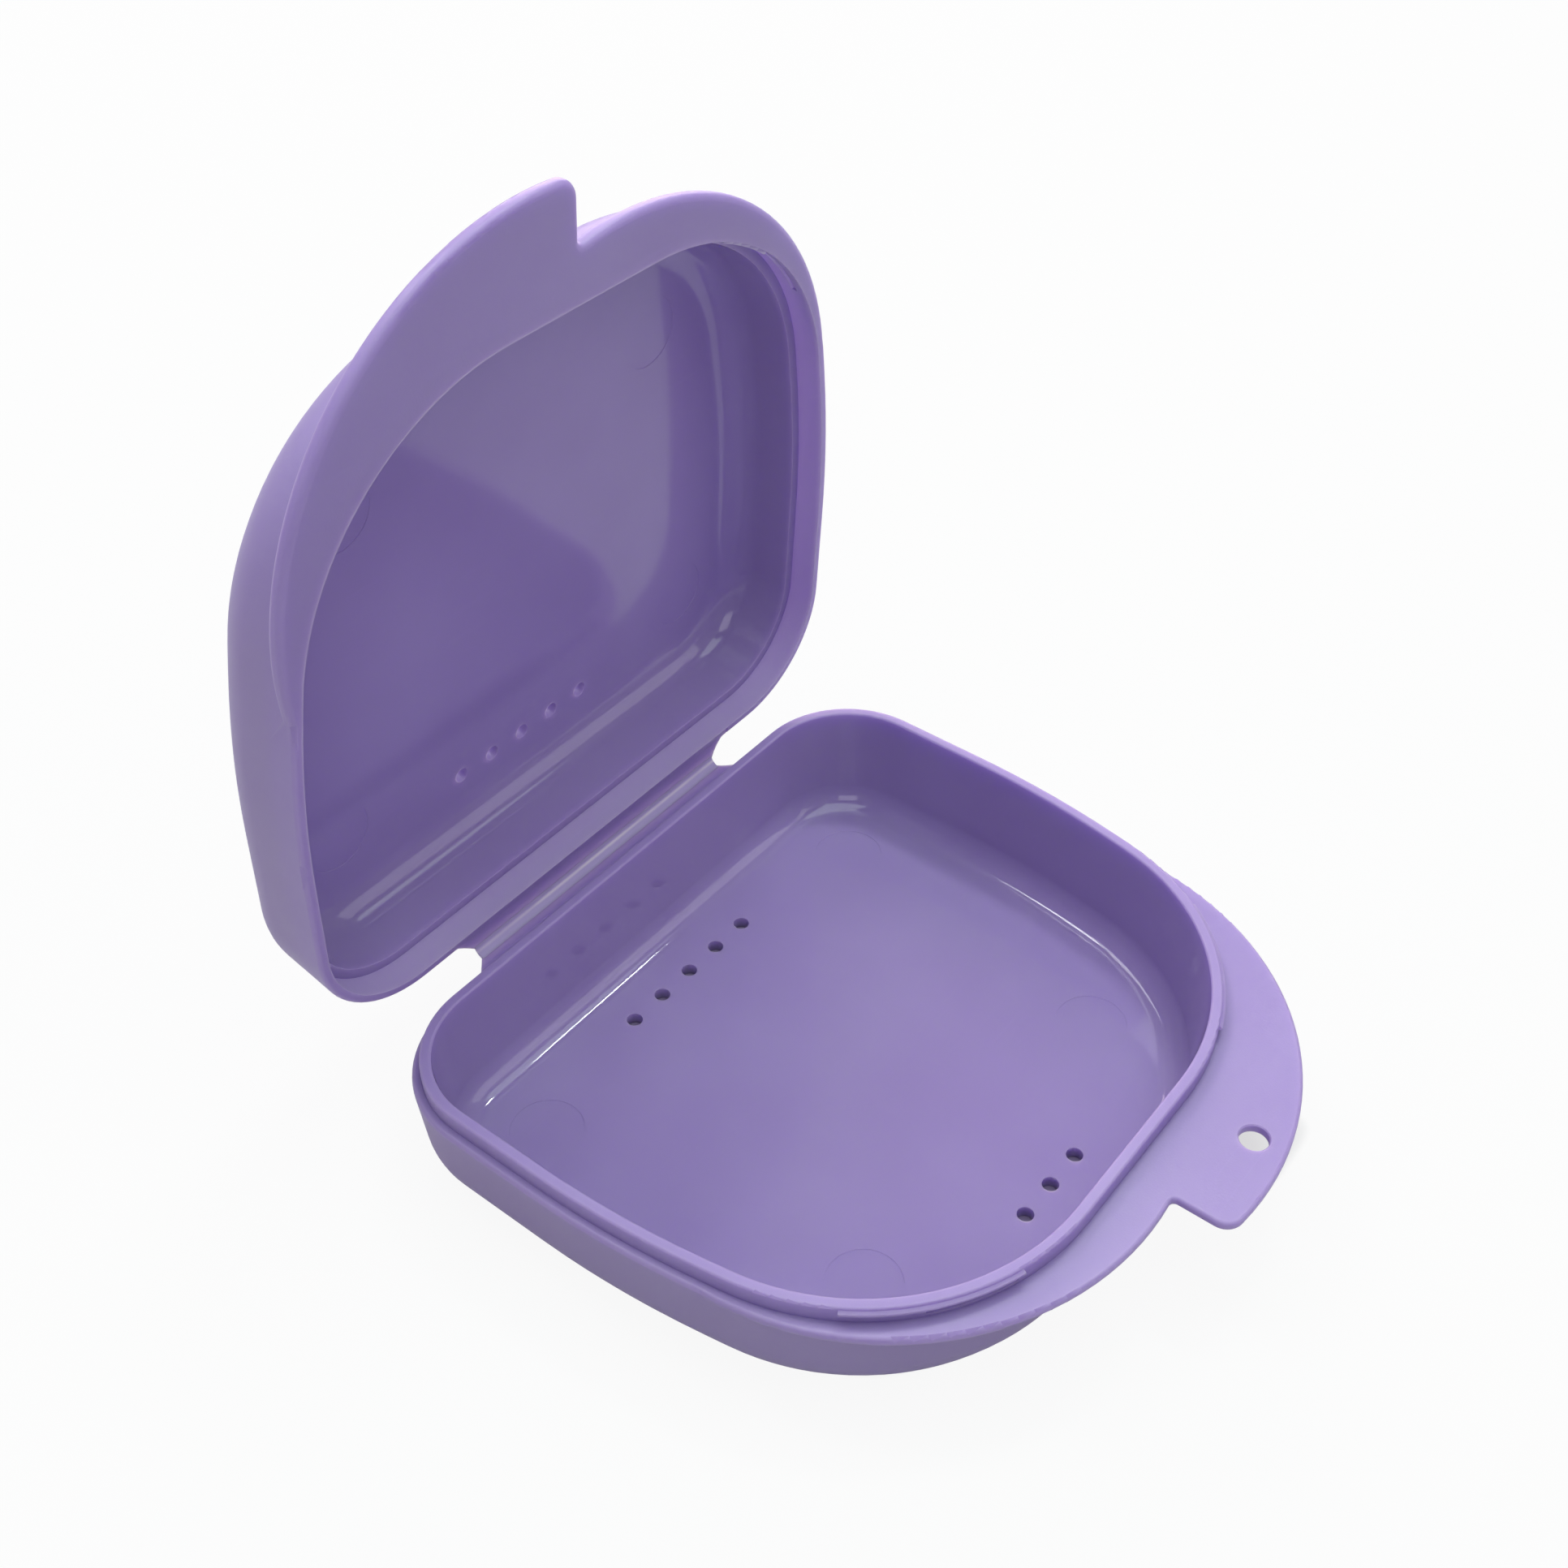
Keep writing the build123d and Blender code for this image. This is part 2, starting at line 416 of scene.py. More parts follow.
class HandlingMarks(EffectGroup):
    """Hairline scratches and faint rubs that a case gets in a bag.

    Attributes:
        hairlines: Turn in degrees and lines to a millimetre of each set of scratches.
        breaks: How often a scratch breaks off, to a millimetre along it.
        layers: How often the scratches change, to a millimetre of height.
        line_edge: Where a scratch's noise starts and is full.
        patch_size: Size of a rubbed patch.
        patch_edge: Where a patch's noise starts and is full.
    """

    name = "handling_marks"
    inputs = (("Vector", "NodeSocketVector", 0.0), ("Amount", "NodeSocketFloat", 0.5))
    outputs = (("Scratches", "NodeSocketFloat"), ("Rubs", "NodeSocketFloat"))
    hairlines = ((17.0, 5.2), (64.0, 4.1), (141.0, 6.0))
    breaks = 0.035
    layers = 0.8
    line_edge = (0.72, 0.8)
    patch_size = 11 * MM
    patch_edge = (0.5, 0.68)

    def wire(self, shading: Shading, given: object, result: object) -> None:
        """Wires crossing hairlines that show only inside a few rubbed patches."""
        lines = None
        for turn_deg, fineness in self.hairlines:
            scale = (self.breaks / MM, fineness / MM, self.layers / MM)
            drawn = shading.stretch(given["Vector"], scale, turn_deg)
            line = shading.smooth_step(shading.noise(drawn, 1.0, detail=0.0), *self.line_edge)
            lines = line if lines is None else shading.math("MAXIMUM", lines, line)
        rubbed = shading.noise(given["Vector"], 1.0 / self.patch_size)
        patches = shading.smooth_step(rubbed, *self.patch_edge)
        seen = shading.math("MULTIPLY", lines, patches)
        shading.link(shading.math("MULTIPLY", seen, given["Amount"]), result["Scratches"])
        shading.link(shading.math("MULTIPLY", patches, given["Amount"]), result["Rubs"])


class StressWhitening(EffectGroup):
    """Pale line where a folded plastic has been strained, broken up along its length.

    Attributes:
        ragged_size: Size of the waves in the line's edge.
        narrowest: Least width of the line, as a share of Width.
        stretch_size: Length of its paler stretches.
        stretch_edge: Where a stretch's noise starts and is full.
        faintest: How strong the line is between the stretches.
    """

    name = "stress_whitening"
    inputs = (
        ("Vector", "NodeSocketVector", 0.0),
        ("Across", "NodeSocketFloat", 0.0),
        ("Width", "NodeSocketFloat", 0.3),
    )
    outputs = (("Mask", "NodeSocketFloat"),)
    ragged_size = 3.5 * MM
    narrowest = 0.5
    stretch_size = 9 * MM
    stretch_edge = (0.32, 0.6)
    faintest = 0.4

    def wire(self, shading: Shading, given: object, result: object) -> None:
        """Wires the line. Across is the distance from the fold, and Width is half the line's width.

        Both are in millimetres.
        """
        uneven = shading.noise(given["Vector"], 1.0 / self.ragged_size, detail=4.0, rough=0.7)
        widening = shading.math("ADD", uneven, self.narrowest)
        width = shading.math("MULTIPLY", given["Width"], widening)
        near = shading.math("DIVIDE", shading.math("ABSOLUTE", given["Across"]), width)
        line = shading.math("SUBTRACT", 1.0, near, clamp=True)
        patchy = shading.noise(given["Vector"], 1.0 / self.stretch_size)
        stretches = shading.smooth_step(patchy, *self.stretch_edge)
        paler = shading.math("MULTIPLY", stretches, 1.0 - self.faintest)
        strength = shading.math("ADD", paler, self.faintest)
        shading.link(shading.math("MULTIPLY", line, strength), result["Mask"])


# Finishes


class PlasticMaterial:
    """A new material with a Principled shader, for a plastic that lets some light in.

    Attributes:
        material: The material.
        shading: Its node tree.
        place: Coordinates on the piece.
        shader: The Principled shader.
    """

    def __init__(self, name: str, colour: Colour) -> None:
        """Starts the material.

        Args:
            name: Its name.
            colour: Its plain colour where shaders aren't shown, linear.
        """
        self.material = bpy.data.materials.new(name)
        self.material.use_nodes = True
        self.material.diffuse_color = (*colour, 1.0)
        self.shading = Shading(self.material.node_tree)
        self.place = self.shading.node("ShaderNodeTexCoord").outputs["Object"]
        self.shader = self.shading.node("ShaderNodeBsdfPrincipled")
        output = self.shading.node("ShaderNodeOutputMaterial")
        self.shading.link(self.shader.outputs["BSDF"], output.inputs["Surface"])

    def raise_skin(self, height: Socket, relief: float) -> None:
        """Gives the surface a bump.

        Args:
            height: Its height, as a share of the relief.
            relief: Its depth, in metres.
        """
        bump = self.shading.node("ShaderNodeBump")
        bump.inputs["Distance"].default_value = relief
        self.shading.link(height, bump.inputs["Height"])
        self.shading.link(bump.outputs["Normal"], self.shader.inputs["Normal"])

    def let_light_in(self, share: float, depth: float) -> None:
        """Lets light spread inside the plastic.

        Args:
            share: Share of the light that enters.
            depth: How far it spreads, in metres.
        """
        self.shader.inputs["Subsurface Weight"].default_value = share
        self.shader.inputs["Subsurface Radius"].default_value = LIGHT_SPREAD
        self.shader.inputs["Subsurface Scale"].default_value = depth


@dataclass(frozen=True)
class LilacPlastic:
    """Moulded polypropylene with a lilac pigment, from satin to polished.

    Attributes:
        name: The material's name.
        colour: Its colour, linear.
        deep_colour: The colour of its denser patches, linear.
        roughness: Its mean roughness.
        haze: How much its roughness varies.
        grain_size: Size of the grain in millimetres.
        grain: Strength of the grain.
        waves: Strength of the slow waves.
        relief: Depth of the bump, in metres.
        wear: Amount of scratches and rubs.
        translucency: Share of light that spreads inside it.
        light_depth: How far light spreads inside it, in metres.
        refraction: Its index of refraction.
        pigment_edge: Where the pigment's noise starts to deepen it, and is full.
        worn_gain: How much paler a scratch is.
        worn_lift: What is added to a scratch's colour, linear.
        worn_share: How far a scratch takes that colour.
        rub_roughness: How much rougher a rub is.
        scratch_roughness: How much rougher a scratch is.
        scratch_height: Height of a scratch, as a share of the relief.
    """

    name: str
    colour: Colour
    deep_colour: Colour
    roughness: float
    haze: float
    grain_size: float
    grain: float
    waves: float
    relief: float
    wear: float
    translucency: float = 0.8
    light_depth: float = 2.4 * MM
    refraction: float = 1.49
    pigment_edge: tuple[float, float] = (0.3, 0.7)
    worn_gain: float = 1.35
    worn_lift: float = 0.03
    worn_share: float = 0.5
    rub_roughness: float = 0.08
    scratch_roughness: float = 0.2
    scratch_height: float = -0.3

    def build(self) -> bpy.types.Material:
        """Makes the material.

        Returns:
            The material.
        """
        made = PlasticMaterial(self.name, self.colour)
        shading, place = made.shading, made.place
        skin = MouldedSkin().place(
            shading, Vector=place, Grain_Size=self.grain_size, Grain=self.grain, Waves=self.waves
        )
        marks = HandlingMarks().place(shading, Vector=place, Amount=self.wear)
        scratches = marks.outputs["Scratches"]

        pigment = shading.smooth_step(skin.outputs["Pigment"], *self.pigment_edge)
        body = shading.mix_colour(pigment, self.colour, self.deep_colour)
        pale = tuple(min(1.0, part * self.worn_gain + self.worn_lift) for part in self.colour)
        worn = shading.math("MULTIPLY", scratches, self.worn_share)
        shading.link(shading.mix_colour(worn, body, pale), made.shader.inputs["Base Color"])

        smoothest = self.roughness - self.haze / 2
        hazy = shading.math("MULTIPLY_ADD", skin.outputs["Haze"], self.haze, smoothest)
        rubbed = shading.math("MULTIPLY_ADD", marks.outputs["Rubs"], self.rub_roughness, hazy)
        scratched = shading.math("MULTIPLY_ADD", scratches, self.scratch_roughness, rubbed)
        shading.link(scratched, made.shader.inputs["Roughness"])

        raised = skin.outputs["Height"]
        height = shading.math("MULTIPLY_ADD", scratches, self.scratch_height, raised)
        made.raise_skin(height, self.relief)
        made.shader.inputs["IOR"].default_value = self.refraction
        made.let_light_in(self.translucency, self.light_depth)
        return made.material


@dataclass(frozen=True)
class StrainedFilm:
    """The hinge's thin film, strained pale along its fold.

    Attributes:
        name: The material's name.
        colour: Its colour away from the fold, linear.
        strained: Its colour where it has whitened, linear.
        fold_y: Where the fold lies along Y, in metres.
        fold_z: Where the fold lies along Z, in metres.
        half_width: Half the width of the whitened line, in millimetres.
        roughness: Its roughness away from the fold.
        strained_roughness: How much rougher it is where it has whitened.
        grain_size: Size of the grain in millimetres.
        grain: Strength of the grain.
        waves: Strength of the slow waves.
        relief: Depth of the bump, in metres.
        translucency: Share of light that spreads inside it.
        light_depth: How far light spreads inside it, in metres.
    """

    name: str
    colour: Colour
    strained: Colour
    fold_y: float
    fold_z: float
    half_width: float
    roughness: float = 0.42
    strained_roughness: float = 0.1
    grain_size: float = 0.12
    grain: float = 0.6
    waves: float = 0.3
    relief: float = 0.02 * MM
    translucency: float = 0.5
    light_depth: float = 1.0 * MM

    def build(self) -> bpy.types.Material:
        """Makes the material.

        Returns:
            The material.
        """
        made = PlasticMaterial(self.name, self.colour)
        shading, place = made.shading, made.place
        parts = shading.node("ShaderNodeSeparateXYZ")
        shading.link(place, parts.inputs[0])
        along_y = shading.math("SUBTRACT", parts.outputs["Y"], self.fold_y)
        along_z = shading.math("SUBTRACT", parts.outputs["Z"], self.fold_z)
        # The whitened face leans 45 degrees, halfway between the two leaves.
        diagonal = shading.math("ADD", along_y, along_z)
        across = shading.math("MULTIPLY", diagonal, math.sqrt(0.5) / MM)
        strain = StressWhitening().place(
            shading, Vector=place, Across=across, Width=self.half_width
        )
        skin = MouldedSkin().place(
            shading, Vector=place, Grain_Size=self.grain_size, Grain=self.grain, Waves=self.waves
        )
        mask = strain.outputs["Mask"]
        mixed = shading.mix_colour(mask, self.colour, self.strained)
        shading.link(mixed, made.shader.inputs["Base Color"])
        rough = shading.math("MULTIPLY_ADD", mask, self.strained_roughness, self.roughness)
        shading.link(rough, made.shader.inputs["Roughness"])
        made.raise_skin(skin.outputs["Height"], self.relief)
        made.let_light_in(self.translucency, self.light_depth)
        return made.material


# Pieces


@dataclass
class Moulding:
    """One rigid half of the case: the CAD solid's surface, merged, smoothed and given finishes.

    Attributes:
        name: The piece's name.
        node: The CAD node whose surface it takes.
        body: The CAD body it rides on.
        slot: The record's material slot; not used.
        opens: Which way its hollow opens when the case is closed.
        opened_deg: How far it is turned about the crease from its closed place.
        crease: A point on the crease.
        outside: Finish of the outer walls and the flanges.
        inside: Finish of the hollow.
        wall_top: Height of the hollow's mouth in the closed place, in metres.
        floor: Height of the hollow's floor in the closed place, in metres.
        socket: Finish of the wall that the other half's lip plugs into, if it has one, in a lighter
            colour that is painted light on that wall.
        mouth: Height of the socket's rim in the closed place, in metres.
        front: How far toward the front the hollow can reach, in metres.
        middle: The middle of the hollow seen from above, in metres.
        merge_distance: Points of the surface nearer than this become one, in metres.
        facing_in: Least share of an inner face's normal that points to the middle.
        facing_out: Least share of a floor face's normal that points out of the hollow.
        mouth_margin: How far the hollow's faces may lie past its mouth, in metres.
        floor_margin: How far the hollow's faces may lie from its floor, in metres.
    """

    name: str
    node: str
    body: str
    slot: str
    opens: Side
    opened_deg: float
    crease: Vector
    outside: LilacPlastic
    inside: LilacPlastic
    wall_top: float
    floor: float
    socket: LilacPlastic | None = None
    mouth: float = 0.0
    front: float = -34 * MM
    middle: Vector = field(default_factory=lambda: Vector((0.0, 1.5 * MM, 0.0)))
    merge_distance: float = 0.002 * MM
    facing_in: float = 0.02
    facing_out: float = 0.5
    mouth_margin: float = 0.02 * MM
    floor_margin: float = 0.12 * MM

    def closed_turn(self) -> Matrix:
        """Gives the turn that takes the half from its place at rest back to its closed place.

        Returns:
            The turn about the crease.
        """
        turn = Matrix.Rotation(math.radians(self.opened_deg), 4, "X")
        return Matrix.Translation(self.crease) @ turn @ Matrix.Translation(-self.crease)

    def build(self, frame: dict) -> bpy.types.Object:
        """Copies the CAD node's surface, merges it and smooths it.


        Returns:
            The new piece.
        """
        source = frame["nodes"][self.node]
        mesh = source.data.copy()
        mesh.materials.clear()
        piece = bpy.data.objects.new(self.name, mesh)
        bpy.context.scene.collection.objects.link(piece)
        edit(piece)
        bpy.ops.mesh.select_all(action="SELECT")
        bpy.ops.mesh.remove_doubles(threshold=self.merge_distance)
        leave_edit()
        if mesh.has_custom_normals:
            bpy.ops.mesh.customdata_custom_splitnormals_clear()
        bpy.ops.object.shade_smooth_by_angle(angle=math.radians(SHARP_ANGLE_DEG))
        even = piece.modifiers.new("even_normals", "WEIGHTED_NORMAL")
        even.mode = "FACE_AREA_WITH_ANGLE"
        even.keep_sharp = True
        bpy.ops.object.modifier_apply(modifier=even.name)
        return piece

    def region_of(self, centre: Vector, normal: Vector) -> Region:
        """Tells which part of the half a face belongs to.

        Args:
            centre: The face's centre in the closed place.
            normal: The face's normal in the closed place.

        Returns:
            Its region.
        """
        up = self.opens.value
        depth = (self.wall_top - centre.z) * up
        deepest = (self.wall_top - self.floor) * up
        toward = self.middle - centre
        toward.z = 0.0
        faces_in = normal.dot(toward.normalized()) > self.facing_in
        if self.socket and faces_in and (self.mouth - centre.z) * up > 0.0 > depth:
            return Region.SOCKET
        past_floor = depth > deepest + self.floor_margin
        if depth < -self.mouth_margin or past_floor or centre.y < self.front:
            return Region.OUTSIDE
        near_floor = abs(depth - deepest) < self.floor_margin
        on_floor = near_floor and normal.z * up > self.facing_out
        return Region.INSIDE if faces_in or on_floor else Region.OUTSIDE

    def dress(self, piece: bpy.types.Object) -> None:
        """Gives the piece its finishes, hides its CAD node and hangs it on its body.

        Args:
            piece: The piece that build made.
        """
        finishes = {Region.OUTSIDE: self.outside, Region.INSIDE: self.inside}
        if self.socket:
            finishes[Region.SOCKET] = self.socket
        order = list(finishes)
        for finish in finishes.values():
            piece.data.materials.append(finish.build())
        closed = self.closed_turn()
        for face in piece.data.polygons:
            region = self.region_of(closed @ face.center, closed.to_3x3() @ face.normal)
            face.material_index = order.index(region)
        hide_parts(self.node)
        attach(piece, self.body)


@dataclass
class HingeFilm:
    """The living hinge's film, which bends between the two halves and laps a little over each leaf.

    Attributes:
        finish: Its finish.
        crease: A point on the crease.
        opened_deg: How far the lid is open.
        length: Its length along the crease.
        reach: From the crease to each of its ends.
        rise_deg: How steeply it leaves the hollowed face of each leaf.
        drop: How far its upper face lies below the crease at the tray's end.
        thickness: Its thickness.
        steps: How many steps its bend has.
        spans: How many cuts it has along its length.
        merge_distance: Points nearer than this become one.
        name: The piece's name.
    """

    finish: StrainedFilm
    crease: Vector
    opened_deg: float
    length: float = 38.6 * MM
    reach: float = 0.95 * MM
    rise_deg: float = 16.0
    drop: float = 0.12 * MM
    thickness: float = 0.32 * MM
    steps: int = 16
    spans: int = 24
    merge_distance: float = 0.001 * MM
    name: str = "hinge_film"

    def bend_radius(self) -> float:
        """Gives the radius of the film's upper face, so that it reaches both leaves alike.

        Returns:
            The radius in metres.
        """
        half_open = math.radians(self.opened_deg) / 2
        rise = math.radians(self.rise_deg)
        slope = math.tan(half_open)
        return (self.reach * slope + self.drop) / (math.cos(rise) - slope * math.sin(rise))

    def build(self) -> bpy.types.Object:
        """Spins the film's section about its bend, from the tray's leaf to the lid's.

        Returns:
            The new piece.
        """
        rise = math.radians(self.rise_deg)
        bend = math.radians(180.0 - self.opened_deg) - 2 * rise
        across = Vector((0.0, -math.sin(rise), math.cos(rise)))
        start = self.crease + Vector((0.0, -self.reach, -self.drop))
        radius = self.bend_radius()
        centre = start + across * radius
        middle = start - across * self.thickness / 2
        upright = (math.pi / 2 + rise, 0.0, 0.0)
        deselect_all()
        bpy.ops.mesh.primitive_plane_add(size=1.0, location=middle, rotation=upright)
        piece = bpy.context.object
        piece.name = self.name
        piece.scale = (self.length, self.thickness, 1.0)
        apply_place(piece)
        edit(piece, "EDGE")
        bpy.ops.mesh.select_all(action="DESELECT")
        leave_edit()
        for edge in piece.data.edges:
            ends = [piece.data.vertices[i].co for i in edge.vertices]
            edge.select = abs(ends[0].x - ends[1].x) > self.length / 2
        edit(piece, "EDGE")
        bpy.ops.mesh.subdivide(number_cuts=self.spans)
        bpy.ops.mesh.select_all(action="SELECT")
        bpy.ops.mesh.spin(steps=self.steps, angle=-bend, center=centre, axis=(1.0, 0.0, 0.0))
        bpy.ops.mesh.select_all(action="SELECT")
        bpy.ops.mesh.remove_doubles(threshold=self.merge_distance)
        bpy.ops.mesh.normals_make_consistent(inside=False)
        leave_edit()
        return piece

    def dress(self, piece: bpy.types.Object) -> None:
        """Gives the film its finish and smooth shading, hides the CAD hinge and puts its place into
        its mesh.

        Args:
            piece: The piece that build made.
        """
        piece.data.materials.append(self.finish.build())
        pick(piece)
        bpy.ops.object.shade_smooth_by_angle(angle=math.radians(SHARP_ANGLE_DEG))
        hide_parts("living_hinge")
        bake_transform(piece)


# Studio


@dataclass(frozen=True)
class Softbox:
    """A square or long area lamp that looks at one point.

    Attributes:
        name: The lamp's name.
        place: Where it hangs, in metres.
        size: Its width in metres.
        watts: Its power.
        colour: Its colour, linear.
        height: Its height in metres, or 0 for a square one.
    """

    name: str
    place: Place
    size: float
    watts: float
    colour: Colour = (1.0, 1.0, 1.0)
    height: float = 0.0

    def build(self, target: Vector) -> None:
        """Hangs the lamp so that it looks at one point.

        Args:
            target: The point.
        """
        lamp = bpy.data.lights.new(self.name, "AREA")
        lamp.shape = "RECTANGLE"
        lamp.size = self.size
        lamp.size_y = self.height or self.size
        lamp.energy = self.watts
        lamp.color = self.colour
        holder = bpy.data.objects.new(self.name, lamp)
        holder.location = self.place
        aim = target - Vector(self.place)
        holder.rotation_euler = aim.to_track_quat("-Z", "Y").to_euler()
        bpy.context.scene.collection.objects.link(holder)


@dataclass(frozen=True)
class Camera:
    """The photograph's camera.

    Attributes:
        place: Where it stands, in millimetres.
        turn_deg: Its turn about X, Y and Z in degrees.
        lens: Its focal length in millimetres.
        sensor: Its sensor's width in millimetres.
        nearest: Nearest that it sees, in metres.
        furthest: Furthest that it sees, in metres.
    """

    place: Place = (-107.32, -75.11, 159.23)
    turn_deg: tuple[float, float, float] = (48.2244, 0.3509, -51.9068)
    lens: float = 43.87
    sensor: float = 36.0
    nearest: float = 0.005
    furthest: float = 20.0

    def build(self) -> None:
        """Puts the camera in the scene."""
        optics = bpy.data.cameras.new("camera")
        optics.lens = self.lens
        optics.sensor_width = self.sensor
        optics.clip_start = self.nearest
        optics.clip_end = self.furthest
        holder = bpy.data.objects.new("camera", optics)
        holder.location = Vector(self.place) * MM
        holder.rotation_euler = [math.radians(angle) for angle in self.turn_deg]
        bpy.context.scene.collection.objects.link(holder)
        bpy.context.scene.camera = holder


@dataclass(frozen=True)
class Patch:
    """A part of the table with rounded corners.

    Attributes:
        middle_x: Its middle along X, in metres.
        middle_y: Its middle along Y, in metres.
        half_x: Half its size along X, in metres.
        half_y: Half its size along Y, in metres.
        core: Where it starts to fade, from 0 at its middle to 1 at its edge.
        strength: How strong it is at full.
        squareness: Power that gives its outline, from 2 for an ellipse upward.
    """

    middle_x: float
    middle_y: float
    half_x: float
    half_y: float
    core: float
    strength: float = 1.0
    squareness: float = 4.0

    def outside(self, shading: Shading, x: Socket, y: Socket) -> Socket:
        """Gives a mask that is 1 away from the patch and falls by its strength on it.

        Args:
            shading: The tree that uses it.
            x: Where the mask is read along X.
            y: Where the mask is read along Y.

        Returns:
            The mask's socket.
        """
        sides = ((x, self.middle_x, self.half_x), (y, self.middle_y, self.half_y))
        powers = []
        for where, middle, half in sides:
            share = shading.math("DIVIDE", shading.math("SUBTRACT", where, middle), half)
            distance = shading.math("ABSOLUTE", share)
            powers.append(shading.math("POWER", distance, self.squareness))
        away = shading.smooth_step(shading.math("ADD", *powers), self.core, 1.0)
        return shading.math("MULTIPLY_ADD", away, self.strength, 1.0 - self.strength)


@dataclass
class Studio:
    """White table, white surroundings, large soft lamps, and small ones for the bright glints.

    Attributes:
        table_radius: Radius of the table in metres.
        table_corners: How many corners its round edge has.
        table_colour: Colour that the table shows to the object, linear.
        shade_colour: Colour painted on the table under the tray: painted shade, tinted lilac as
            painted light through the lilac floor, linear.
        glow: Share of white that the camera sees on the table whatever the shadow.
        mirrored: Share of white that glossy reflections of the table get.
        under_tray: Part of the table that the tray covers, where the white glow is left out and the
            painted shade colour is used.
        under_tab: Part of the table under the tab where the white glow is lowered, a painted shadow
            of the tab that is seen through its hole.
        surroundings: Brightness of the surroundings on the object.
        sky_colour: Colour of the surroundings on the object, linear.
        aim: The point that the lamps look at.
        lamps: The softboxes.
    """

    table_radius: float = 1.2
    table_corners: int = 96
    table_colour: Colour = (0.55, 0.55, 0.55)
    shade_colour: Colour = (0.28, 0.22, 0.36)
    glow: float = 0.92
    mirrored: float = 0.15
    under_tray: Patch = Patch(0.0, 0.0, half_x=31.5 * MM, half_y=28 * MM, core=0.6)
    under_tab: Patch = Patch(
        18.5 * MM, -36.5 * MM, half_x=6.5 * MM, half_y=5 * MM, core=0.1, strength=0.35
    )
    surroundings: float = 0.27
    sky_colour: Colour = (0.95, 0.89, 1.0)
    aim: Place = (0.0, 0.0, 0.03)
    lamps: tuple[Softbox, ...] = (
        Softbox("overhead", (0.05, -0.1, 0.97), 0.8, 4.5, (0.84, 1.0, 0.92)),
        Softbox("above_back", (0.0, 0.6, 0.8), 0.4, 2.9),
        Softbox("behind_right", (0.7, 0.6, 0.4), 0.5, 4.1, (1.0, 0.82, 0.88)),
        Softbox("window", (-0.6, -0.45, 0.65), 0.4, 1.0),
        Softbox("lamp_right", (0.43, 0.1, 0.895), 0.24, 2.1, (0.92, 1.0, 0.97), height=0.1),
        Softbox("lamp_back", (0.0, 0.37, 0.93), 0.12, 0.7),
        Softbox("lamp_front", (0.5, -0.65, 0.57), 0.5, 1.1),
    )

    def build(self) -> None:
        """Makes the table, the surroundings and the lamps."""
        self.build_table()
        self.build_surroundings()
        for lamp in self.lamps:
            lamp.build(Vector(self.aim))
        bpy.context.scene.view_settings.view_transform = "Standard"

    def build_table(self) -> None:
        """Makes the table, which the camera sees white with a faint shadow, and with painted shade
        under the tray and the tab.
        """
        deselect_all()
        bpy.ops.mesh.primitive_circle_add(
            vertices=self.table_corners, radius=self.table_radius, fill_type="NGON"
        )
        table = bpy.context.object
        table.name = "table"
        material = bpy.data.materials.new("white_table")
        material.use_nodes = True
        shading = Shading(material.node_tree)
        parts = shading.node("ShaderNodeSeparateXYZ")
        shading.link(shading.node("ShaderNodeTexCoord").outputs["Object"], parts.inputs[0])
        beside_tray = self.under_tray.outside(shading, parts.outputs["X"], parts.outputs["Y"])
        beside_tab = self.under_tab.outside(shading, parts.outputs["X"], parts.outputs["Y"])
        matt = shading.node("ShaderNodeBsdfDiffuse")
        # Painted shade: under the tray the table's colour goes to the dark lilac shade colour.
        tinted = shading.mix_colour(beside_tray, self.shade_colour, self.table_colour)
        shading.link(tinted, matt.inputs["Color"])
        seen = shading.node("ShaderNodeLightPath")
        watched = shading.math("MULTIPLY", seen.outputs["Is Camera Ray"], self.glow)
        direct = shading.math("MULTIPLY_ADD", seen.outputs["Is Glossy Ray"], self.mirrored, watched)
        # Painted shadow: the white glow is left out under the tray and lowered under the tab.
        lit = shading.math("MULTIPLY", beside_tray, beside_tab)
        white = shading.node("ShaderNodeEmission")
        blend = shading.node("ShaderNodeMixShader")
        output = shading.node("ShaderNodeOutputMaterial")
        shading.link(shading.math("MULTIPLY", direct, lit), blend.inputs[0])
        shading.link(matt.outputs[0], blend.inputs[1])
        shading.link(white.outputs[0], blend.inputs[2])
        shading.link(blend.outputs[0], output.inputs["Surface"])
        table.data.materials.append(material)

    def build_surroundings(self) -> None:
        """Makes a world that the camera sees white and the object sees softly bright."""
        world = bpy.data.worlds.new("surroundings")
        world.use_nodes = True
        shading = Shading(world.node_tree)
        seen = shading.node("ShaderNodeLightPath")
        sky = shading.node("ShaderNodeBackground")
        colour = shading.mix_colour(seen.outputs["Is Camera Ray"], self.sky_colour, (1.0, 1.0, 1.0))
        shading.link(colour, sky.inputs["Color"])
        extra = shading.math("MULTIPLY", seen.outputs["Is Camera Ray"], 1.0 - self.surroundings)
        shading.link(shading.math("ADD", extra, self.surroundings), sky.inputs["Strength"])
        shading.link(sky.outputs[0], shading.node("ShaderNodeOutputWorld").inputs["Surface"])
        bpy.context.scene.world = world


# The case


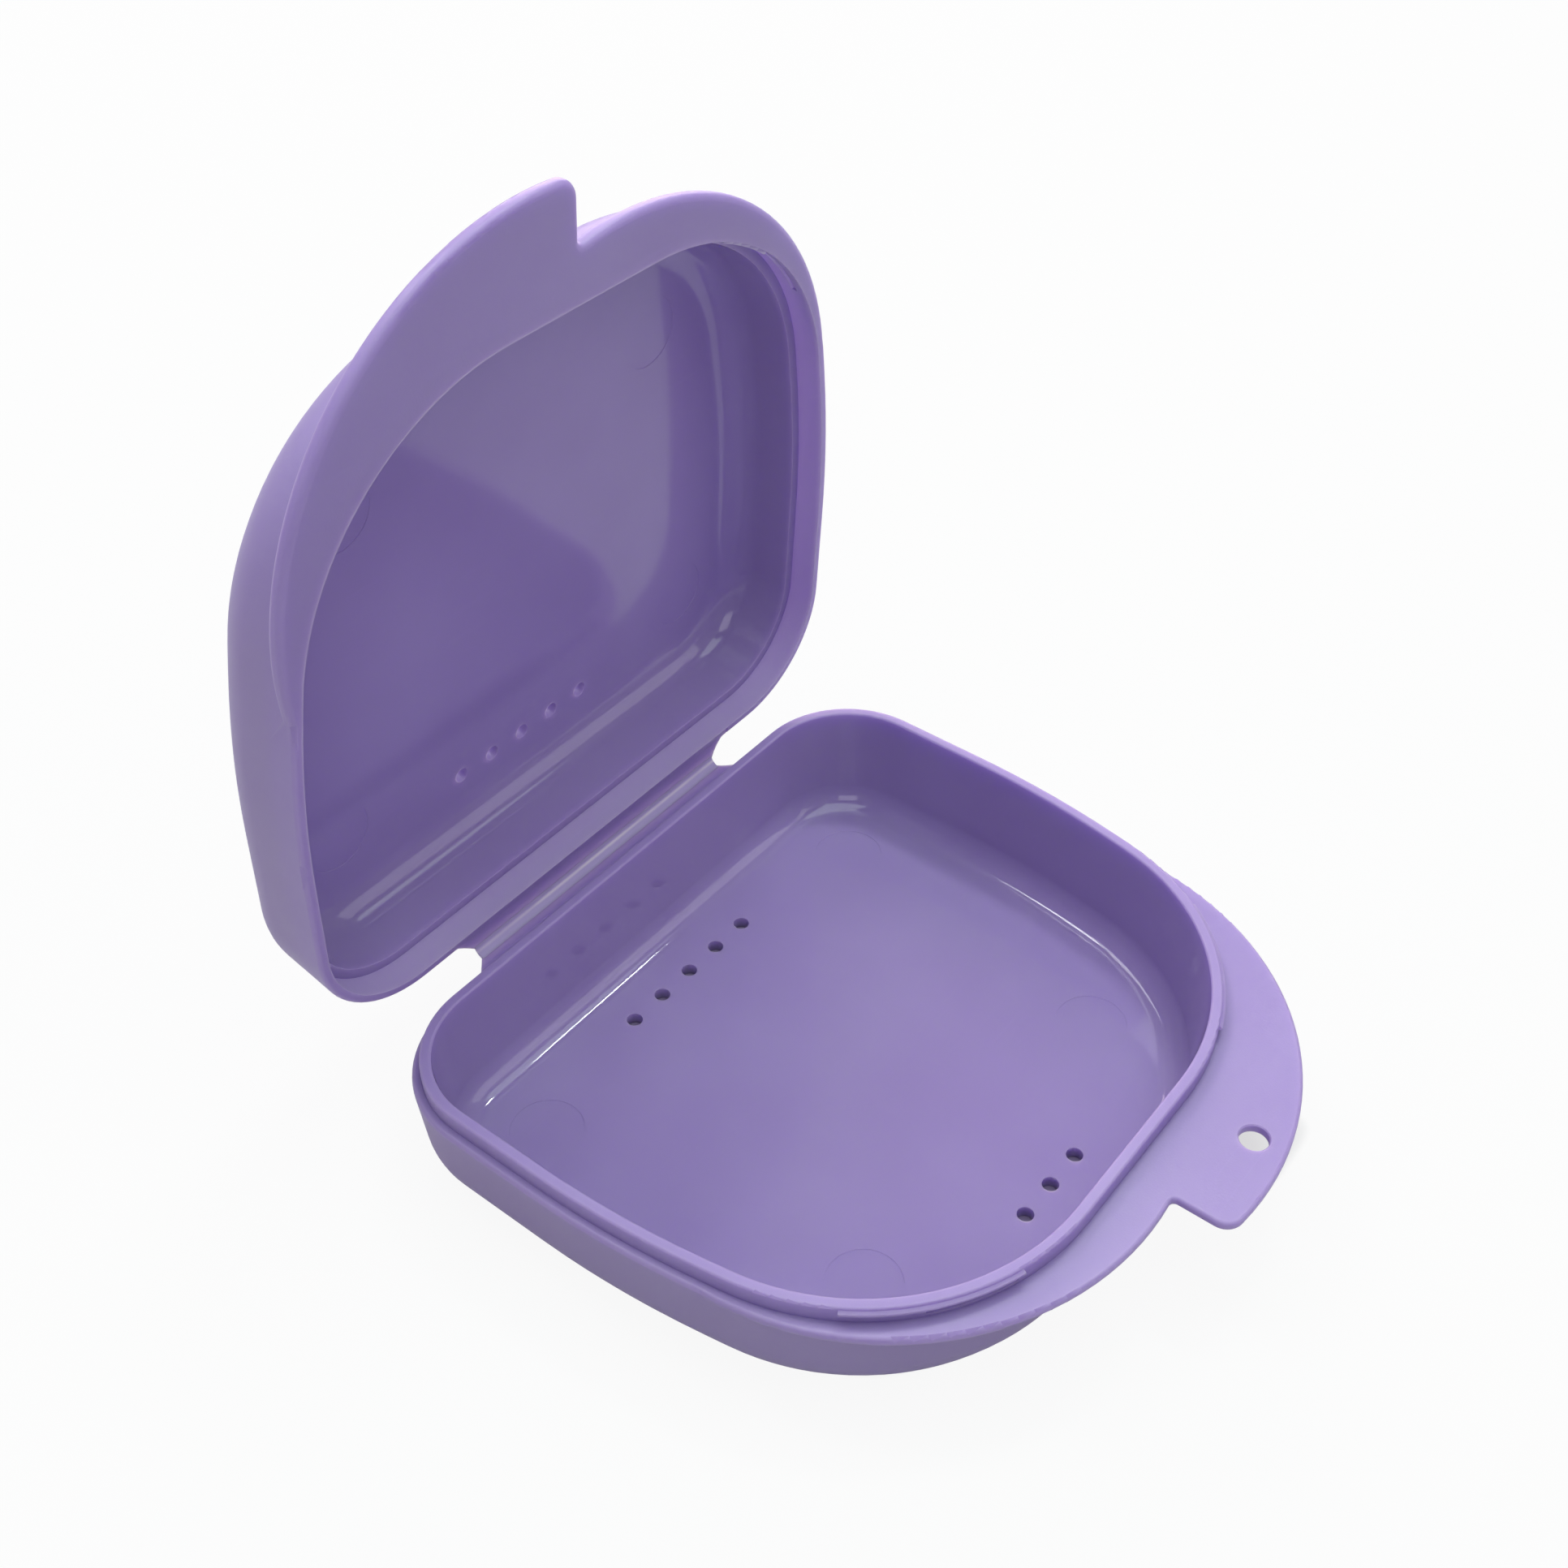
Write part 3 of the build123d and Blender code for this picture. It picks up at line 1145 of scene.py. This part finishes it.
@dataclass
class RetainerCase:
    """The whole case: tray, lid and the film between them.

    Attributes:
        opened_deg: How far the lid stands open.
        crease: A point on the crease between the halves.
        lilac: Colour of the plastic, linear.
        socket_painted_light_lilac: Its colour in the lid's matt socket, made lighter as painted
            light where light falls on that wall, linear.
        film_lilac: Its colour in the hinge's film, linear.
        strained_lilac: Its colour where the film has whitened, linear.
        denser: Share of each channel that is left in denser patches of the plastic.
        fold_shift: How far the fold's pale line lies from the crease toward the lid, in metres.
        fold_half_width: Half the width of that line, in millimetres.
    """

    opened_deg: float
    crease: Vector
    lilac: Colour = srgb(161, 144, 194)
    # Painted light: the socket wall gets a lighter, greyer lilac that stands in for the light
    # falling on it near the mouth.
    socket_painted_light_lilac: Colour = srgb(182, 170, 206)
    film_lilac: Colour = srgb(176, 163, 205)
    strained_lilac: Colour = srgb(222, 214, 226)
    denser: Colour = (0.94, 0.91, 0.96)
    fold_shift: float = 0.22 * MM
    fold_half_width: float = 0.24

    def deeper(self, colour: Colour) -> Colour:
        """Gives the colour of the denser patches of a plastic.

        Args:
            colour: The plastic's colour, linear.

        Returns:
            The deeper colour, linear.
        """
        return tuple(channel * share for channel, share in zip(colour, self.denser))

    def satin(self, name: str, colour: Colour) -> LilacPlastic:
        """Gives the finish of the outer walls, the flanges and the lid's socket.

        Args:
            name: The material's name.
            colour: Its colour, linear.

        Returns:
            The finish.
        """
        return LilacPlastic(
            name,
            colour,
            self.deeper(colour),
            roughness=0.42,
            haze=0.1,
            grain_size=0.22,
            grain=0.6,
            waves=0.4,
            relief=0.02 * MM,
            wear=0.12,
        )

    def polished(self, name: str, roughness: float) -> LilacPlastic:
        """Gives the finish of a hollow.

        Args:
            name: The material's name.
            roughness: Its mean roughness.

        Returns:
            The finish.
        """
        return LilacPlastic(
            name,
            self.lilac,
            self.deeper(self.lilac),
            roughness=roughness,
            haze=0.02,
            grain_size=0.6,
            grain=0.02,
            waves=1.2,
            relief=0.02 * MM,
            wear=0.06,
        )

    def tray(self) -> Moulding:
        """Gives the tray.

        Returns:
            The tray's moulding, not built yet.
        """
        return Moulding(
            name="tray",
            node="base_tray",
            body="base",
            slot="tray_plastic",
            opens=Side.UP,
            opened_deg=0.0,
            crease=self.crease,
            outside=self.satin("tray_satin", self.lilac),
            inside=self.polished("tray_polished", roughness=0.05),
            wall_top=14.3 * MM,
            floor=1.5 * MM,
        )

    def lid(self) -> Moulding:
        """Gives the lid.

        Returns:
            The lid's moulding, not built yet.
        """
        return Moulding(
            name="lid",
            node="lid_shell",
            body="lid",
            slot="lid_plastic",
            opens=Side.DOWN,
            opened_deg=self.opened_deg,
            crease=self.crease,
            outside=self.satin("lid_satin", self.lilac),
            inside=self.polished("lid_polished", roughness=0.1),
            wall_top=15.85 * MM,
            floor=23.7 * MM,
            # Painted light: the socket's finish uses the lighter lilac that stands in for the light
            # falling on that wall.
            socket=self.satin("lid_socket_satin_painted_light", self.socket_painted_light_lilac),
            mouth=12.9 * MM,
        )

    def film(self) -> HingeFilm:
        """Gives the hinge's film.

        Returns:
            The film, not built yet.
        """
        finish = StrainedFilm(
            name="hinge_film",
            colour=self.film_lilac,
            strained=self.strained_lilac,
            fold_y=self.crease.y + self.fold_shift,
            fold_z=self.crease.z,
            half_width=self.fold_half_width,
        )
        return HingeFilm(finish, self.crease, self.opened_deg)

    def build(self, frame: dict) -> None:
        """Builds and dresses every piece.
        """
        pieces = []
        for half in (self.tray(), self.lid()):
            piece = half.build(frame)
            half.dress(piece)
            pieces.append(piece)
        film = self.film()
        piece = film.build()
        film.dress(piece)
        pieces.append(piece)
        for piece in pieces:
            LOG.info("%s: %d faces", piece.name, len(piece.data.polygons))


def crease_and_opening(frame: dict) -> tuple[Vector, float]:
    """Reads the hinge from the frame.


    Returns:
        A point on the crease in metres, and how far the lid is open at rest in degrees.
    """
    hinge = frame["record"]["behaviour"]["joints"][0]
    return Vector(hinge["pos_m"]), -hinge["range_deg"][0]


def main() -> None:
    """Builds the case and its studio."""
    logging.basicConfig(level=logging.INFO, format="%(name)s: %(message)s")
    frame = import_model()
    crease, opened_deg = crease_and_opening(frame)
    RetainerCase(opened_deg, crease).build(frame)
    Studio().build()
    Camera().build()


if __name__ == "__main__":
    main()
